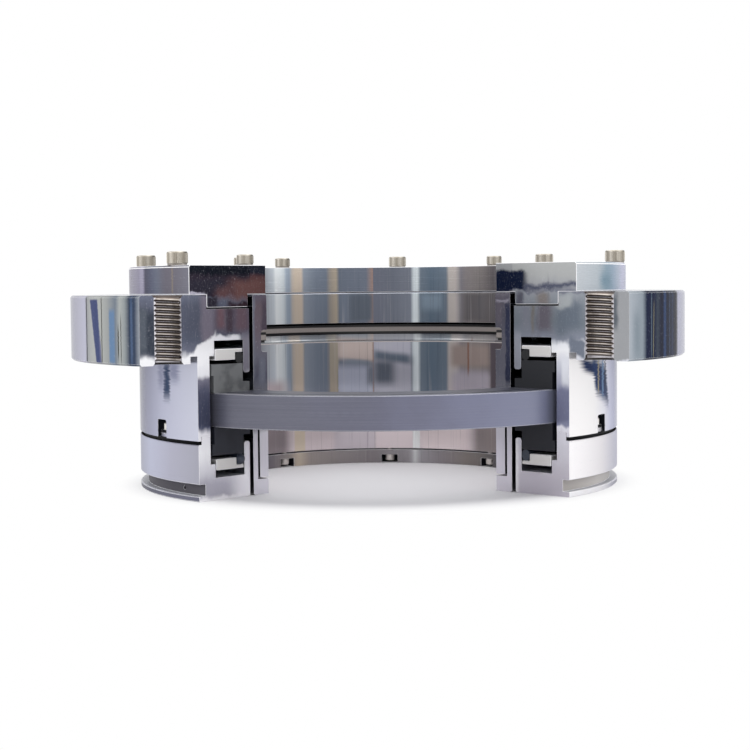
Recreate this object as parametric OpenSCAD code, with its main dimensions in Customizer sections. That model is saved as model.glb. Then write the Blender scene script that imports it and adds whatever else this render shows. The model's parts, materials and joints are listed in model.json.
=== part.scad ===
// Double-face dry gas seal cartridge for a compressor shaft, as a cut-away display model.
// A sector is removed at the front of every turned piece except the mating ring.
// Origin: shaft axis, on the plane the cartridge stands on. +Z runs up the shaft.
// The front, where the sector is removed, faces -Y.

/* [Section] */
// Angle of the sector cut out of the front
cut_angle = 90; // [60:5:100]

/* [Shaft and rotor] */
// Diameter of the shaft that the sleeve slides over
shaft_d = 137.4; // [120:0.2:160]
// Wall of the sleeve under the mating ring
sleeve_wall = 4.8; // [4:0.1:7]
// Width of the sleeve shoulder that backs the mating ring
shoulder_w = 3.2; // [2.6:0.1:5]
// Wall of the clamp sleeve that holds the mating ring from below
clamp_wall = 2.6; // [2.4:0.1:4]
// Height of the clamp sleeve's foot
foot_h = 6.5; // [5.6:0.1:8]
// Open gap between the foot and the end of the sleeve
foot_gap = 0.8; // [0.4:0.1:1.5]
// Thickness of the mating ring
ring_t = 14.2; // [11:0.1:18]
// Height of the bore groove's lower edge above the mating ring
groove_rise = 16; // [10:0.1:18]
// Height of the groove in the sleeve bore
groove_h = 9.2; // [7:0.1:12]
// Depth of the groove in the sleeve bore
groove_depth = 3.4; // [2:0.1:4]
// Width of the notches round the foot
notch_w = 8.1; // [6:0.1:9]
// Height of the notches round the foot
notch_h = 4.1; // [3.9:0.1:5]

/* [Face rings and springs] */
// Radial width of a carbon ring with its shoulder
carbon_w = 17.25; // [15:0.05:22]
// Axial length of a carbon ring
carbon_h = 11.7; // [10:0.1:14]
// Height of the carbon ring's nose that reaches in under the lip
nose_h = 4; // [3:0.1:5]
// Depth of the shoulder round the back of a carbon ring
carbon_shoulder = 1.2; // [0.8:0.1:1.4]
// Gap between a carbon ring and its thrust ring
backing_gap = 1.6; // [1.2:0.1:2.2]
// Axial length of a thrust ring
thrust_h = 4.6; // [4:0.1:6]
// Thickness of the thrust ring's inner flange
thrust_flange_t = 1.5; // [1:0.1:2]
// Open travel behind the upper thrust ring
upper_travel_gap = 3.6; // [2.9:0.1:5]
// Open travel behind the lower thrust ring
lower_travel_gap = 3; // [2.9:0.1:5]
// Section diameter of the balance O-ring beside each lip
oring_w = 3.9; // [3:0.1:4.4]
// Outer diameter of a face spring
spring_d = 5.4; // [4.4:0.1:6.5]
// Wire diameter of a face spring
spring_wire = 0.9; // [0.7:0.1:1.1]
// Depth of the blind hole that seats each spring
spring_seat = 6; // [4:0.1:7]
// Diameter of the pins that stop a carbon ring from turning
stop_pin_d = 3; // [2:0.1:4]

/* [Housing] */
// Running gap between the rotor and the housings
rotor_gap = 2.1; // [1.6:0.1:3]
// Wall of the lip that carries the balance O-ring
lip_t = 3.6; // [3:0.1:5]
// Distance from the mating ring up to the end of the upper lip
upper_lip_gap = 7.8; // [7.2:0.1:9]
// Distance from the mating ring down to the end of the lower lip
lower_lip_gap = 6.9; // [6.7:0.1:8.5]
// Wall of the casing round the mating ring
casing_wall = 6.4; // [6:0.1:9]
// Metal left between the spring pocket and the plate recess
web_t = 13; // [11:0.1:18]
// Depth of the recess for the plate's spigot
recess_depth = 5.9; // [4:0.1:8]
// Thickness of the flange
flange_t = 28; // [24:0.5:34]
// Width of the flange outside the casing
flange_w = 29.6; // [28:0.1:40]
// Edge break of the flange and the plate
edge = 0.8; // [0.4:0.1:1.5]

/* [Flange holes] */
// Holes round the full flange circle
flange_holes = 12; // [12:4:12]
// Distance from the casing out to the hole circle
hole_offset = 15.2; // [14:0.1:18]
// Diameter of the clearance holes
bolt_hole_d = 15; // [12:0.5:16]
// Thread diameter of every third hole, for jack screws
jack_hole_d = 14; // [12:0.5:16]

/* [Lower housing] */
// Thickness of the lower housing under its spring pocket
base_t = 9.3; // [9.1:0.1:13]
// Height of the bottom rim
rim_h = 2.3; // [1.5:0.1:2.6]
// Height of the neck above the rim
neck_h = 4.8; // [3:0.1:5.2]
// Depth of the neck below the casing's surface
neck_depth = 3.4; // [1.5:0.1:4]
// Distance from the mating ring down to the lower housing's shoulder
joint_drop = 6.75; // [5:0.05:9]
// Height of the spigot that enters the casing
spigot_h = 3.3; // [2.5:0.1:4]
// Open groove between the casing and the lower housing
joint_gap = 1.5; // [1:0.1:2]
// Depth of the open groove
joint_depth = 1.65; // [1:0.05:2]

/* [Installation plate and screws] */
// Thickness of the plate
plate_t = 12.2; // [10:0.1:18]
// How far the plate stands out over the casing
plate_over = 3.9; // [3:0.1:6]
// Width of the plate's rim outside its spigot
plate_rim_w = 9.3; // [9.2:0.1:12]
// Thread diameter of the screws that hold the plate to the flange
plate_screw_d = 5; // [4:0.5:5]
// Thread diameter of the screws over the sleeve
sleeve_screw_d = 4; // [3:0.5:4]
// Plate screws round the full circle
plate_screw_count = 8; // [8:4:8]

/* [Hidden] */

$fn = 96;
over = 1;               // how far a cutting shape runs past what it cuts
fit_gap = 0.2;          // radial clearance of a located spigot
loose_gap = 0.35;       // clearance of a piece that slides or turns
head_clearance = 0.1;   // room beside a small screw's head
lift = 0.3;             // gap between the turning sleeve and the fixed plate

// Angles are measured from the front; at() turns them into the drawing's own angles
front = 270;
half_cut = cut_angle / 2;
body_angle = 360 - cut_angle;
pin_margin = 4;         // degrees that whole pins stay clear of the cut faces

// Radii, from the shaft outwards
bore_r = shaft_d / 2;
sleeve_r = bore_r + sleeve_wall;
shoulder_r = sleeve_r + shoulder_w;
clamp_in_r = sleeve_r + 1.1;
clamp_r = clamp_in_r + clamp_wall;
ring_in_r = sleeve_r + loose_gap;
housing_bore_r = shoulder_r + rotor_gap;
lower_bore_r = max(clamp_r, shoulder_r) + rotor_gap;
lip_r = lower_bore_r + lip_t - 0.5;
carbon_in_r = lip_r + loose_gap;
carbon_r = carbon_in_r + carbon_w;
carbon_body_r = carbon_r - carbon_shoulder;
ring_r = carbon_body_r - 0.3;
wall_r = carbon_r + 1;
pocket_r = carbon_r - 1.6;
thrust_r = pocket_r - 0.45;
oring_r = carbon_in_r + oring_w / 2;
spring_r = (lip_r + pocket_r) / 2;
casing_r = wall_r + casing_wall;
flange_r = casing_r + flange_w;
hole_circle_r = casing_r + hole_offset;
plate_r = casing_r + plate_over;
spigot_r = plate_r - plate_rim_w;
plate_screw_r = plate_r - plate_rim_w / 2;
sleeve_screw_r = (bore_r + shoulder_r) / 2;
joint_r = casing_r - joint_depth;
neck_r = casing_r - neck_depth;

// Heights, from the standing plane up
stack_h = carbon_h + backing_gap + thrust_h;
floor_z = base_t;
ring_z = floor_z + lower_travel_gap + stack_h;
ring_top = ring_z + ring_t;
ceiling_z = ring_top + stack_h + upper_travel_gap;
recess_z = ceiling_z + web_t;
flange_top = recess_z + recess_depth;
flange_z = flange_top - flange_t;
plate_top = flange_top + plate_t;
sleeve_top = flange_top - lift;
sleeve_end = foot_h + foot_gap;
widening = stack_h - 2.7;                  // where the pocket widens, from the ring's face
joint_z = ring_z - joint_drop;
casing_z = joint_z + joint_gap;
rebate_z = joint_z + spigot_h;
groove_z = ring_top + groove_rise;

// Screws, washers and pins
washer_t = 0.7;
small_washer_t = 0.6;
head_ratio = 1.7;                          // head diameter over thread diameter
small_head_ratio = 1.75;
screw_grip = 8;                            // thread length below the plate's face
first_screw = -7.4;                        // angle of the screw nearest the middle of the front
small_screw_d = 2.5;                       // screws in the casing slots and the foot notches
small_head_h = 3;
small_screw_grip = 5;
slot_w = 8.6;
slot_h = 7.6;
slot_floor = 3;                            // height of the slot's screw seat over the casing's edge
slot_in_r = wall_r + 0.55;
casing_screw_r = slot_in_r + head_clearance + small_screw_d * 0.9;
clamp_screw_r = (bore_r + sleeve_r) / 2;
notch_depth = clamp_screw_r - bore_r + small_screw_d * 0.9 + 0.5;
first_notch = -6.2;
drive_pin_d = 1.8;
spring_count = 12;
spring_turns = 4.5;
ring_oring_d = 2.6;
ring_oring_z = (ring_z + ring_top) / 2;

// Angles of a full-circle pattern that lie clear of the removed sector
function kept(first, count, margin) =
    [for (i = [0:count - 1])
        let (a = (first + i * 360 / count + 720) % 360)
        if (a > half_cut + margin && a < 360 - half_cut - margin) a];

// Places children at an angle from the front and a radius from the axis
module at(angle, radius) {
    rotate([0, 0, front + angle]) translate([radius, 0, 0]) children();
}

// A section rectangle between two radii and two heights
module band(r_in, r_out, z_low, z_high) {
    translate([r_in, z_low]) square([r_out - r_in, z_high - z_low]);
}

// A section rectangle whose outer corners are broken
module rim_band(r_in, r_out, z_low, z_high, low_break, high_break) {
    polygon([
        [r_in, z_low], [r_out - low_break, z_low], [r_out, z_low + low_break],
        [r_out, z_high - high_break], [r_out - high_break, z_high], [r_in, z_high]
    ]);
}

// Turns a section round the axis and leaves the front sector out
module turned() {
    rotate([0, 0, front + half_cut]) rotate_extrude(angle = body_angle) children();
}

// A lip with a round end, hanging down from z_root to z_end
module lip_section(r_in, r_out, z_root, z_end) {
    width = r_out - r_in;
    round_r = width / 3;
    band(r_in, r_out, z_end + round_r, z_root);
    band(r_in + round_r, r_out - round_r, z_end, z_end + width);
    for (r = [r_in + round_r, r_out - round_r])
        translate([r, z_end + round_r]) circle(r = round_r, $fn = 32);
}

// Puts a stack that is drawn upwards from the ring's face above or below the ring
module above_ring() {
    translate([0, 0, ring_top]) children();
}

module below_ring() {
    translate([0, 0, ring_z]) mirror([0, 0, 1]) children();
}

// Blind seats for the springs and stop pins, drawn upwards from the pocket's end
module pocket_seats(depth) {
    for (a = kept(0, spring_count, pin_margin))
        at(a, spring_r) translate([0, 0, depth - over])
            cylinder(d = spring_d + 2 * loose_gap, h = spring_seat + over, $fn = 32);
    for (a = stop_angles())
        at(a, spring_r) translate([0, 0, depth - over])
            cylinder(d = stop_pin_d, h = stop_pin_seat() + over, $fn = 32);
}

function stop_angles() = kept(15 + 360 / spring_count, 4, pin_margin);
function stop_pin_seat() = 5;

// Housing: flange, web, casing wall and upper lip in one piece
module housing_section() {
    corner_w = 3.7;
    corner_h = 3;
    difference() {
        union() {
            rim_band(housing_bore_r, flange_r, flange_z, flange_top, edge, edge);
            band(housing_bore_r, casing_r, casing_z, flange_z + over);
        }
        band(housing_bore_r - over, spigot_r + fit_gap, recess_z, flange_top + over);
        band(casing_r, casing_r + corner_w, flange_z - over, flange_z + corner_h);
        band(housing_bore_r - over, wall_r, casing_z - over, ring_top + widening);
        band(housing_bore_r - over, pocket_r, ring_top, ceiling_z);
        band(wall_r - over, joint_r + fit_gap, casing_z - over, rebate_z);
    }
    lip_section(housing_bore_r, lip_r, recess_z - over, ring_top + upper_lip_gap);
}

module jack_hole() {
    sink = 0.9;
    translate([0, 0, flange_z - over]) cylinder(d = jack_hole_d, h = flange_t + 2 * over);
    translate([0, 0, flange_top - sink])
        cylinder(r1 = jack_hole_d / 2, r2 = jack_hole_d / 2 + sink + over, h = sink + over);
    translate([0, 0, flange_z - over])
        cylinder(r1 = jack_hole_d / 2 + sink + over, r2 = jack_hole_d / 2, h = sink + over);
}

// Slot in the casing's lower edge, with round upper corners and a seat for a screw head
module casing_slot() {
    round_r = 1.2;
    depth = casing_r - slot_in_r + over;
    floor_z = casing_z + slot_floor;
    top = casing_z + slot_h;
    translate([slot_in_r, -slot_w / 2, floor_z]) cube([depth, slot_w, top - floor_z - round_r]);
    translate([slot_in_r, -slot_w / 2 + round_r, floor_z])
        cube([depth, slot_w - 2 * round_r, top - floor_z]);
    for (side = [-1, 1])
        translate([slot_in_r, side * (slot_w / 2 - round_r), top - round_r])
            rotate([0, 90, 0]) cylinder(r = round_r, h = depth, $fn = 32);
    translate([joint_r - 0.15, -slot_w / 2, casing_z - over])
        cube([casing_r - joint_r + over, slot_w, slot_floor + over + 0.01]);
}

function slot_angles() = kept(0, 6, pin_margin);
function screw_angles() = kept(first_screw, plate_screw_count, 2);
function sleeve_screw_angles() = kept(first_screw + 135, 4, 2);
function notch_angles() = kept(first_notch, 8, pin_margin);

module housing() {
    color("#b9bdc6")
    difference() {
        turned() housing_section();
        for (i = [0:flange_holes - 1]) {
            a = half_cut + i * 360 / flange_holes;
            at(a, hole_circle_r)
                if (i % 3 == 0) jack_hole();
                else translate([0, 0, flange_z - over])
                    cylinder(d = bolt_hole_d, h = flange_t + 2 * over);
        }
        for (a = screw_angles())
            at(a, plate_screw_r) translate([0, 0, flange_top - screw_grip - 2])
                cylinder(d = plate_screw_d + fit_gap, h = screw_grip + 2 + over, $fn = 32);
        for (a = slot_angles()) {
            at(a, 0) casing_slot();
            at(a, casing_screw_r) translate([0, 0, rebate_z - over])
                cylinder(d = small_screw_d + 0.3, h = slot_floor + over, $fn = 32);
        }
        above_ring() pocket_seats(stack_h + upper_travel_gap);
    }
}

// Lower housing: base with neck and rim, spigot, pocket and lower lip
module lower_section() {
    difference() {
        union() {
            rim_band(lower_bore_r, casing_r, 0, rim_h, 0.3, 0.3);
            band(lower_bore_r, neck_r, 0, rim_h + neck_h + over);
            rim_band(lower_bore_r, casing_r, rim_h + neck_h, joint_z, 0.3, 0.4);
            rim_band(wall_r, joint_r, joint_z - over, rebate_z, 0, 0.4);
        }
        band(lower_bore_r - over, wall_r, ring_z - widening, rebate_z + over);
        band(lower_bore_r - over, pocket_r, floor_z, rebate_z + over);
        polygon([
            [lower_bore_r - over, -over], [lower_bore_r + over + 0.6, -over],
            [lower_bore_r - over, 0.6 + over]
        ]);
    }
    translate([0, floor_z]) mirror([0, 1]) lip_section(
        lower_bore_r, lip_r, over, floor_z - (ring_z - lower_lip_gap));
}

module lower_housing() {
    vent_d = 1.6;
    vent_angle = -53;
    vent_depth = 5;
    color("#c4c7cf")
    difference() {
        turned() lower_section();
        below_ring() pocket_seats(stack_h + lower_travel_gap);
        for (a = slot_angles())
            at(a, casing_screw_r) translate([0, 0, rebate_z - small_screw_grip - 1])
                cylinder(d = small_screw_d, h = small_screw_grip + 1 + over, $fn = 32);
        at(vent_angle, neck_r - vent_depth) translate([0, 0, rim_h + neck_h / 2])
            rotate([0, 90, 0]) cylinder(d = vent_d, h = vent_depth + over, $fn = 24);
    }
}

// Installation plate, with the spigot that centres it in the housing
module top_plate() {
    floor_gap = 0.7;
    plate_bore_r = bore_r + 0.3;
    color("#bfc1c8")
    difference() {
        turned() {
            rim_band(plate_bore_r, plate_r, flange_top, plate_top, 0.3, edge);
            rim_band(housing_bore_r + 0.5, spigot_r, recess_z + floor_gap, flange_top + over, 0.5, 0);
        }
        for (a = screw_angles())
            at(a, plate_screw_r) translate([0, 0, flange_top - over])
                cylinder(d = plate_screw_d + 0.5, h = plate_t + 2 * over, $fn = 32);
        for (a = sleeve_screw_angles())
            at(a, sleeve_screw_r) translate([0, 0, flange_top - over])
                cylinder(d = sleeve_screw_d + fit_gap, h = plate_t + 2 * over, $fn = 32);
    }
}

// Socket head cap screw, with the underside of its head at the origin
module cap_screw(d, head_d, head_h, length) {
    difference() {
        union() {
            rotate_extrude() rim_band(0, head_d / 2, 0, head_h, 0.2, 0.35);
            translate([0, 0, -length]) cylinder(d = d, h = length + 0.1, $fn = 32);
        }
        translate([0, 0, head_h / 2])
            cylinder(d = 0.8 * d / cos(30), h = head_h / 2 + over, $fn = 6);
    }
}

module washer(d, ratio, t) {
    difference() {
        cylinder(d = ratio * d - 0.3, h = t, $fn = 48);
        translate([0, 0, -over]) cylinder(d = d + 0.4, h = t + 2 * over, $fn = 32);
    }
}

module plate_screws() {
    color("#b8b1a4")
    for (a = screw_angles())
        at(a, plate_screw_r) translate([0, 0, plate_top + washer_t])
            cap_screw(plate_screw_d, head_ratio * plate_screw_d, plate_screw_d,
                washer_t + plate_t + screw_grip);
}

// These stop short of the sleeve, so the rotor is free to turn
module sleeve_screws() {
    color("#b8b1a4")
    for (a = sleeve_screw_angles())
        at(a, sleeve_screw_r) translate([0, 0, plate_top + small_washer_t])
            cap_screw(sleeve_screw_d, small_head_ratio * sleeve_screw_d, sleeve_screw_d,
                small_washer_t + plate_t - 0.4);
}

module screw_washers() {
    color("#9d978c") {
        for (a = screw_angles())
            at(a, plate_screw_r) translate([0, 0, plate_top]) washer(plate_screw_d, head_ratio, washer_t);
        for (a = sleeve_screw_angles())
            at(a, sleeve_screw_r) translate([0, 0, plate_top])
                washer(sleeve_screw_d, small_head_ratio, small_washer_t);
    }
}

// Small screws that hold the casing and the lower housing together
module casing_screws() {
    color("#cfccc6")
    for (a = slot_angles())
        at(a, casing_screw_r) translate([0, 0, casing_z + slot_floor])
            cap_screw(small_screw_d, 1.8 * small_screw_d, small_head_h,
                casing_z + slot_floor - rebate_z + small_screw_grip);
}

// Pins pressed behind the pocket that stop the face rings from turning
module stop_pins(travel_gap) {
    bottom = carbon_h - stop_pin_bite();
    color("#c9c7c2")
    for (a = stop_angles())
        at(a, spring_r) translate([0, 0, bottom])
            cylinder(d = stop_pin_d, h = stack_h + travel_gap + stop_pin_seat() - bottom, $fn = 32);
}

function stop_pin_bite() = 2.5;

module upper_stop_pins() {
    above_ring() stop_pins(upper_travel_gap);
}

module lower_stop_pins() {
    below_ring() stop_pins(lower_travel_gap);
}

// Holes for the stop pins through a face ring, from the height given
module stop_pin_holes(z_low, z_high) {
    for (a = stop_angles())
        at(a, spring_r) translate([0, 0, z_low])
            cylinder(d = stop_pin_d + 2 * loose_gap, h = z_high - z_low, $fn = 32);
}

// Carbon face ring, drawn upwards from the mating ring's face
module carbon_ring() {
    color("#33363b")
    difference() {
        turned() {
            band(carbon_in_r, carbon_body_r, 0, carbon_h);
            band(carbon_in_r, carbon_r, 0.4 * carbon_h + 2.4, carbon_h);
            band(housing_bore_r + 0.2, carbon_in_r + over, 0, nose_h);
        }
        stop_pin_holes(carbon_h - stop_pin_bite() - 3.2, carbon_h + over);
    }
}

// Thrust ring that passes the springs' load to the O-ring and the carbon ring
module thrust_ring() {
    body_z = carbon_h + backing_gap;
    body_r = carbon_in_r + oring_w + 0.1;
    color("#d8d5d3")
    difference() {
        turned() {
            rim_band(body_r, thrust_r, body_z, stack_h, 0.3, 0.3);
            band(carbon_in_r, body_r + over, stack_h - thrust_flange_t, stack_h);
        }
        stop_pin_holes(body_z - over, stack_h + over);
    }
}

// Balance O-ring, squeezed between the lip, the carbon ring and the thrust ring
module balance_oring() {
    low = carbon_h + oring_w / 2;
    high = stack_h - thrust_flange_t - oring_w / 2;
    color("#26282b")
    turned() {
        for (z = [low, max(low, high)])
            translate([oring_r, z]) circle(d = oring_w, $fn = 32);
        band(oring_r - oring_w / 2, oring_r + oring_w / 2, low, max(low, high) + 0.001);
    }
}

// One turn-by-turn helical wire, closed at both ends
module coil(radius, wire, length, turns) {
    steps = 9;
    sides = 5;
    rise = length - wire;
    count = round(steps * turns);
    points = [
        for (i = [0:count])
            let (a = 360 * i / steps, z = wire / 2 + rise * i / count)
            for (k = [0:sides - 1])
                let (b = 360 * k / sides + 90, r = radius + wire / 2 * cos(b))
                [r * cos(a), r * sin(a), z + wire / 2 * sin(b)]
    ];
    walls = [
        for (i = [0:count - 1], k = [0:sides - 1])
            let (p = i * sides + k, q = i * sides + (k + 1) % sides)
            [p, p + sides, q + sides, q]
    ];
    caps = [
        [for (k = [0:sides - 1]) k],
        [for (k = [sides - 1:-1:0]) count * sides + k]
    ];
    polyhedron(points = points, faces = concat(walls, caps), convexity = 6);
}

// Face springs, each between its thrust ring and its blind seat
module springs(travel_gap) {
    color("#a9aaad")
    for (a = kept(0, spring_count, pin_margin))
        at(a, spring_r) translate([0, 0, stack_h])
            coil((spring_d - spring_wire) / 2, spring_wire, travel_gap + spring_seat, spring_turns);
}

module upper_springs() {
    above_ring() springs(upper_travel_gap);
}

module lower_springs() {
    below_ring() springs(lower_travel_gap);
}

module upper_carbon_ring() {
    above_ring() carbon_ring();
}

module upper_thrust_ring() {
    above_ring() thrust_ring();
}

module upper_oring() {
    above_ring() balance_oring();
}

module lower_carbon_ring() {
    below_ring() carbon_ring();
}

module lower_thrust_ring() {
    below_ring() thrust_ring();
}

// The lower O-ring stands out of the left cut face with a round end
module lower_oring() {
    below_ring() balance_oring();
    color("#26282b")
    at(-half_cut, oring_r)
        translate([0, 0, ring_z - stack_h + thrust_flange_t + oring_w / 2 + 0.4]) sphere(d = oring_w);
}

function drive_pin_angles() = kept(60, 6, pin_margin);
function drive_pin_bite() = 3;

// Mating ring: the one turned piece that is left whole
module mating_ring() {
    pin_r = sleeve_r + shoulder_w / 2;
    break_w = 0.3;
    color("#8d919b")
    difference() {
        rotate_extrude() polygon([
            [ring_in_r, ring_z], [ring_r - break_w, ring_z], [ring_r, ring_z + break_w],
            [ring_r, ring_top - break_w], [ring_r - break_w, ring_top], [ring_in_r, ring_top]
        ]);
        for (a = drive_pin_angles())
            at(a, pin_r) translate([0, 0, ring_top - drive_pin_bite() - 0.3])
                cylinder(d = drive_pin_d + fit_gap, h = drive_pin_bite() + 0.3 + over, $fn = 24);
    }
}

// A groove in a bore's section, with round inner corners
module groove_section(r_wall, depth, z_low, height, round_r) {
    r_deep = r_wall + depth;
    band(r_wall - over, r_deep - round_r, z_low, z_low + height);
    band(r_wall - over, r_deep, z_low + round_r, z_low + height - round_r);
    for (z = [z_low + round_r, z_low + height - round_r])
        translate([r_deep - round_r, z]) circle(r = round_r, $fn = 32);
}

// Sleeve section: shoulder above the mating ring, thin wall through it, grooved bore
module sleeve_section() {
    lead = 0.5;
    difference() {
        union() {
            rim_band(bore_r, shoulder_r, ring_top, sleeve_top, 0, 0.5);
            band(bore_r, sleeve_r, sleeve_end, ring_top + over);
        }
        groove_section(bore_r, groove_depth, groove_z, groove_h, 1.4);
        polygon([
            [bore_r - over, sleeve_top - lead - over], [bore_r, sleeve_top - lead],
            [bore_r + lead, sleeve_top], [bore_r + lead, sleeve_top + over],
            [bore_r - over, sleeve_top + over]
        ]);
        band(sleeve_r - ring_oring_d + loose_gap, sleeve_r + over,
            ring_oring_z - ring_oring_d / 2 - 0.3, ring_oring_z + ring_oring_d / 2 + 0.3);
    }
}

module shaft_sleeve() {
    tap_depth = 9;
    color("#aeb2bc")
    difference() {
        turned() sleeve_section();
        for (a = sleeve_screw_angles())
            at(a, sleeve_screw_r) translate([0, 0, sleeve_top - tap_depth])
                cylinder(d = sleeve_screw_d, h = tap_depth + over, $fn = 32);
        for (a = drive_pin_angles())
            at(a, sleeve_r + shoulder_w / 2) translate([0, 0, ring_top - over])
                cylinder(d = drive_pin_d, h = drive_pin_bite() + over, $fn = 24);
        for (a = notch_angles())
            at(a, clamp_screw_r) translate([0, 0, sleeve_end - over])
                cylinder(d = small_screw_d, h = small_screw_grip + 1 + over, $fn = 32);
    }
}

// Seal ring in the upper half of the sleeve's bore groove
module sleeve_seal() {
    seal_h = 3.5;
    head_room = 1;
    back_gap = 0.05;
    z_high = groove_z + groove_h - head_room;
    color("#8f8678")
    turned() {
        band(bore_r + 0.5, bore_r + groove_depth - back_gap, z_high - seal_h, z_high);
        band(bore_r + 1.3, bore_r + groove_depth - back_gap, z_high - seal_h - 0.9, z_high - 1);
    }
}

// Axial pins from the sleeve's shoulder into the mating ring
module ring_drive_pins() {
    color("#c9c7c2")
    for (a = drive_pin_angles())
        at(a, sleeve_r + shoulder_w / 2) translate([0, 0, ring_top - drive_pin_bite()])
            cylinder(d = drive_pin_d, h = 2 * drive_pin_bite(), $fn = 24);
}

// O-ring that seals the mating ring to the sleeve
module ring_oring() {
    section_r = ring_oring_d / 2;
    color("#26282b")
    turned() translate([sleeve_r + loose_gap - section_r, ring_oring_z])
        circle(r = section_r - 0.02, $fn = 32);
}

// Notch in the foot's inner face, open at the bottom
module foot_notch() {
    translate([bore_r - over, -notch_w / 2, -over])
        cube([notch_depth + over, notch_w, notch_h + over]);
}

// Clamp sleeve: thin wall that holds the mating ring, on a foot with notches
module clamp_sleeve() {
    color("#b4b6bc")
    difference() {
        turned() {
            rim_band(bore_r, clamp_r, 0, foot_h, 0.6, 0);
            band(clamp_in_r, clamp_r, foot_h - over, ring_z);
        }
        for (a = notch_angles()) {
            at(a, 0) foot_notch();
            at(a, clamp_screw_r) translate([0, 0, notch_h - over])
                cylinder(d = small_screw_d + 0.3, h = foot_h - notch_h + 2 * over, $fn = 32);
        }
    }
}

// Screws that draw the clamp sleeve up against the mating ring; their heads hang in the notches
module clamp_screws() {
    color("#cfcbc9")
    for (a = notch_angles())
        at(a, clamp_screw_r) translate([0, 0, notch_h]) mirror([0, 0, 1])
            cap_screw(small_screw_d, 1.8 * small_screw_d, small_head_h,
                foot_h - notch_h + foot_gap + small_screw_grip);
}

housing();
lower_housing();
top_plate();
plate_screws();
sleeve_screws();
screw_washers();
casing_screws();
upper_stop_pins();
lower_stop_pins();
upper_springs();
lower_springs();
upper_carbon_ring();
upper_thrust_ring();
upper_oring();
lower_carbon_ring();
lower_thrust_ring();
lower_oring();
mating_ring();
shaft_sleeve();
clamp_sleeve();
clamp_screws();
ring_drive_pins();
ring_oring();
sleeve_seal();
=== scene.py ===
"""Dry gas seal, cut away at the front: polished steel section, turned outsides, matt carbon face rings."""
import json
import math

import bmesh
import bpy
from mathutils import Matrix, Vector


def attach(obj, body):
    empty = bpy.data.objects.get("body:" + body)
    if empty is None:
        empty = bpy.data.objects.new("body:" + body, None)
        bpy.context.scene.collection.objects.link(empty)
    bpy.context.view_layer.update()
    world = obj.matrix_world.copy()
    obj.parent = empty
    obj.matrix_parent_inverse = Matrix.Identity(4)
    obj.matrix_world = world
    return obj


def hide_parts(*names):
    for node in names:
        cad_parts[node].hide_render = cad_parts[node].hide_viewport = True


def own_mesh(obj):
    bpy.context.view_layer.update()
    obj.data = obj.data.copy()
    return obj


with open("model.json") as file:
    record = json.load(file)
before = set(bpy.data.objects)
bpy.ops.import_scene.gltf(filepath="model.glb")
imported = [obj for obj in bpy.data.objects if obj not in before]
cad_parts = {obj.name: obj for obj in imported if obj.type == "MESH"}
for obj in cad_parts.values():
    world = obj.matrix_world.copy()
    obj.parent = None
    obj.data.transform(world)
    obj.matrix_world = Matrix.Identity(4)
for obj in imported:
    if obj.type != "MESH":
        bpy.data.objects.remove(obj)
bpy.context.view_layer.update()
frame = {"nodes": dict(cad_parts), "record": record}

MM = 0.001
# Lengths are in mm unless a comment says otherwise
HALF_CUT = 45.0            # degrees from the front to each cut face
BORE_SIDE = 78.0           # radius inside which a cut face takes its inner colours
LEVEL = 0.9                # a face whose normal rises at least this much counts as level
HOLE_CIRCLE = 122.6        # radius of the flange holes
FLANGE_LOW, FLANGE_TOP = 56.8, 84.8
JOINT_Z, JOINT_REACH = 24.2, 1.3   # middle of the groove between casing and lower housing, half its height
WELD = 0.002               # points of a CAD mesh closer than this are one

# Tapped flange holes: degrees from the front, radius, lead-in, pitch, height of a thread, its overlap with the wall
JACK_ANGLES = (-45, 45, 135, -135)
TAP_RADIUS, TAP_SINK, TAP_PITCH, THREAD_HEIGHT, THREAD_OVERLAP = 7.0, 0.9, 2.0, 1.15, 0.05
CREST_DEPTH = 1.1          # depth at which a thread's crest shines
FULL_SWEEP, HALF_SWEEP = 1.0, 0.498   # turns: a whole hole, and one that the cut halves
# Cap screw heads on the plate: radius, knurled height, ridges, circle, underside, degrees from the front
HEADS = ((4.25, 4.0, 44, 106.65, 97.7, (82.6, 127.6, 172.6, -142.4, -97.4, -52.4)),
         (3.5, 3.0, 36, 72.7, 97.6, (127.6, -142.4, -52.4)))

KNURL_SINK, HEAD_FOOT = 0.06, 0.35   # how far the ridges sit in the head, and the plain foot below them

# Spiral grooves on the mating ring: number, how fast they wind, radius they start from, radii they lie between
SPIRAL_COUNT, SPIRAL_WIND, SPIRAL_START, SPIRAL_LOW, SPIRAL_HIGH = 16.0, 11.0, 84.0, 87.5, 97.6

# Camera, fitted to the photograph: lens, place in metres, and its turns in degrees
CAMERA_LENS, CAMERA_PLACE = 79.58, (-0.0234, -0.7522, 0.0879)
CAMERA_PAN, CAMERA_TILT, CAMERA_ROLL = -1.67, -3.085, -0.53
# Floor, in metres: half its width, its height, and the distances between which the shadow fades to white
FLOOR_REACH, FLOOR_Z, FADE_FROM, FADE_TO = 6.0, -0.00005, 0.088, 0.12

ROUND = (-180.0, 180.0)    # ends of a ramp by angle, degrees
UPWARD = (0.0, 100.0)      # ends of a ramp by height


# ---------------------------------------------------------------- shader expressions

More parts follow.
